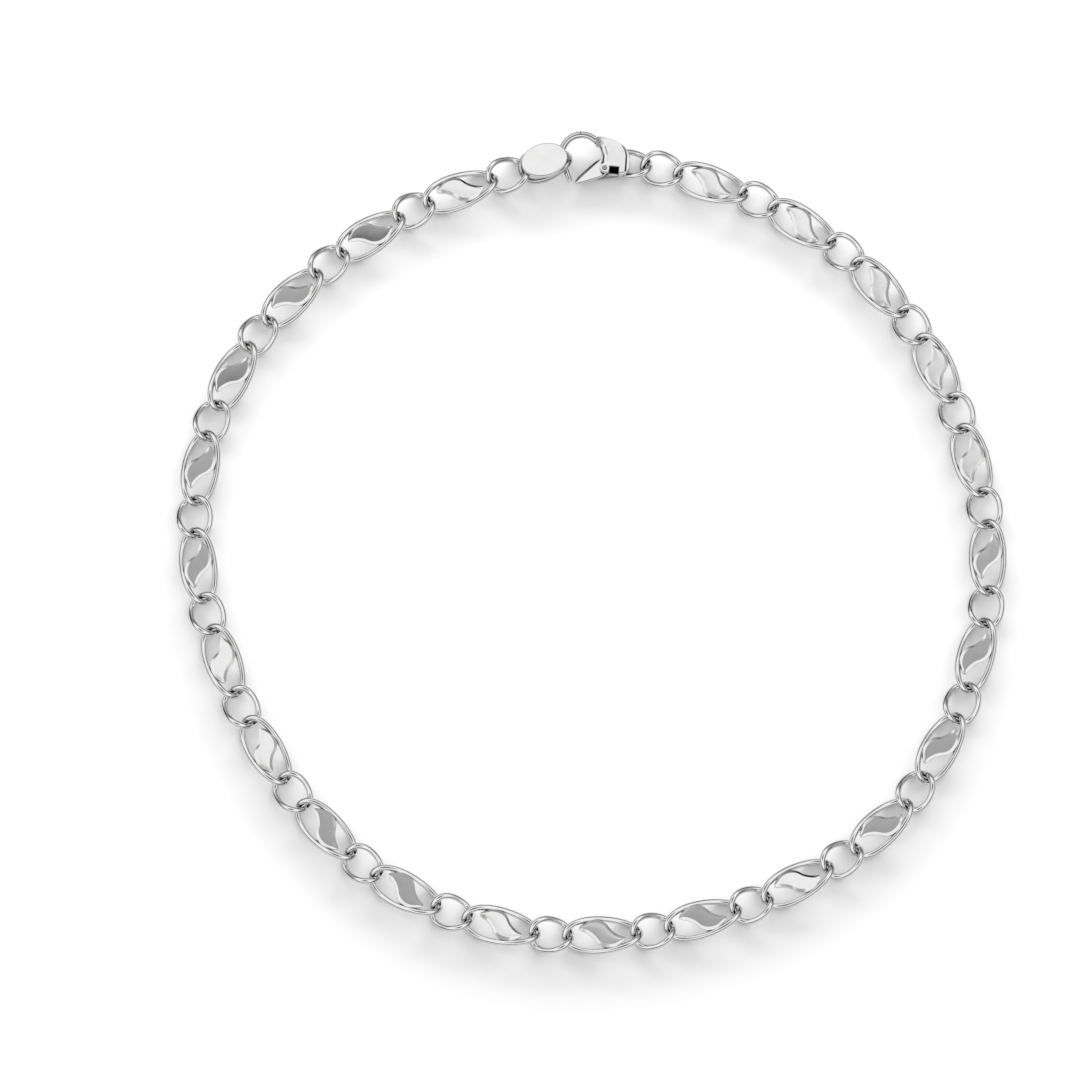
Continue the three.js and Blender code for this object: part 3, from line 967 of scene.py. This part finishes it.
def studio_world():
    """A white light tent, dim round its opening overhead and dark along the table's far edges."""
    world = bpy.data.worlds.new("light_tent")
    bpy.context.scene.world = world
    world.use_nodes = True
    tree = world.node_tree
    tree.nodes.clear()
    where = tree.nodes.new("ShaderNodeTexCoord")
    facing = tree.nodes.new("ShaderNodeVectorMath")
    facing.operation = "DOT_PRODUCT"
    facing.inputs[1].default_value = TENT_OPENING
    tree.links.new(where.outputs["Generated"], facing.inputs[0])
    height = tree.nodes.new("ShaderNodeSeparateXYZ")
    tree.links.new(where.outputs["Generated"], height.inputs["Vector"])
    both = tree.nodes.new("ShaderNodeMath")
    both.operation = "MULTIPLY"
    for value, stops, socket in [
        (facing.outputs["Value"], TENT_FACING, 0),
        (height.outputs["Z"], TENT_HEIGHT, 1),
    ]:
        ramp = tree.nodes.new("ShaderNodeValToRGB")
        while len(ramp.color_ramp.elements) < len(stops):
            ramp.color_ramp.elements.new(0.5)
        for element, (position, tone) in zip(ramp.color_ramp.elements, stops):
            element.position = position
            element.color = (tone, tone, tone, 1)
        tree.links.new(value, ramp.inputs["Fac"])
        tree.links.new(ramp.outputs["Color"], both.inputs[socket])
    background = tree.nodes.new("ShaderNodeBackground")
    background.inputs["Strength"].default_value = TENT_STRENGTH
    tree.links.new(both.outputs["Value"], background.inputs["Color"])
    out = tree.nodes.new("ShaderNodeOutputWorld")
    tree.links.new(background.outputs["Background"], out.inputs["Surface"])


def softbox(name, place, size, power):
    light = bpy.data.lights.new(name, "AREA")
    light.shape = "RECTANGLE"
    light.size, light.size_y = size
    light.energy = power
    box = bpy.data.objects.new(name, light)
    box.location = place
    box.rotation_euler = (-Vector(place)).to_track_quat("-Z", "Y").to_euler()
    box.visible_glossy = False
    bpy.context.scene.collection.objects.link(box)


class BRACELET_OT_stage(bpy.types.Operator):
    """Make the floor, the light and the camera"""

    bl_idname = "bracelet.stage"
    bl_label = "Stage"

    def execute(self, context):
        stage = context.scene.bracelet_stage
        bpy.ops.mesh.primitive_plane_add(size=FLOOR_SIZE)
        floor = context.object
        floor.name = "floor"
        paper = bpy.data.materials.new("paper")
        tree, node = nodes_of(paper)
        surface = node("ShaderNodeBsdfPrincipled", Roughness=0.9)
        surface.inputs["Base Color"].default_value = (stage.floor_tone, stage.floor_tone, stage.floor_tone, 1)
        surface.inputs["Emission Color"].default_value = (1, 1, 1, 1)
        surface.inputs["Emission Strength"].default_value = stage.floor_glow
        out = node("ShaderNodeOutputMaterial")
        tree.links.new(surface.outputs["BSDF"], out.inputs["Surface"])
        floor.data.materials.append(paper)
        studio_world()
        for box in SOFTBOXES:
            softbox(*box)
        camera = bpy.data.cameras.new("camera")
        camera.lens = camera.sensor_width * stage.camera_distance / FRAME_WIDTH
        camera.clip_start = 0.001
        eye = bpy.data.objects.new("camera", camera)
        target = Vector(LOOK_AT)
        away = Vector((0, -math.cos(stage.camera_height), math.sin(stage.camera_height)))
        turn = Matrix.Rotation(stage.camera_turn, 4, "Z")
        eye.location = turn @ (target + away * stage.camera_distance)
        eye.rotation_euler = (math.pi / 2 - stage.camera_height, 0, stage.camera_turn)
        context.scene.collection.objects.link(eye)
        context.scene.camera = eye
        context.scene.view_settings.view_transform = "Standard"
        return {"FINISHED"}


class BRACELET_PT_panel(bpy.types.Panel):
    """The bracelet's pieces and settings"""

    bl_idname = "BRACELET_PT_panel"
    bl_label = "Chain bracelet"
    bl_space_type = "VIEW_3D"
    bl_region_type = "UI"
    bl_category = "Bracelet"

    def draw(self, context):
        for settings in (
            context.scene.bracelet_shape,
            context.scene.bracelet_finish,
            context.scene.bracelet_stage,
        ):
            for name in settings.__annotations__:
                self.layout.prop(settings, name)
        for maker in MAKERS:
            self.layout.operator(maker.bl_idname)


MAKERS = (
    BRACELET_OT_round_links,
    BRACELET_OT_eye_links,
    BRACELET_OT_tag,
    BRACELET_OT_clasp,
    BRACELET_OT_stage,
)
SETTINGS = (BraceletFinish, BraceletShape, BraceletStage)
CLASSES = SETTINGS + MAKERS + (BRACELET_PT_panel,)


def register():
    for kind in CLASSES:
        bpy.utils.register_class(kind)
    bpy.types.Scene.bracelet_finish = bpy.props.PointerProperty(type=BraceletFinish)
    bpy.types.Scene.bracelet_shape = bpy.props.PointerProperty(type=BraceletShape)
    bpy.types.Scene.bracelet_stage = bpy.props.PointerProperty(type=BraceletStage)


def unregister():
    del bpy.types.Scene.bracelet_finish
    del bpy.types.Scene.bracelet_shape
    del bpy.types.Scene.bracelet_stage
    for kind in reversed(CLASSES):
        bpy.utils.unregister_class(kind)


def main():
    register()
    bpy.ops.bracelet.round_links()
    bpy.ops.bracelet.eye_links()
    bpy.ops.bracelet.tag()
    bpy.ops.bracelet.clasp()
    bpy.ops.bracelet.stage()


if __name__ == "__main__":
    main()
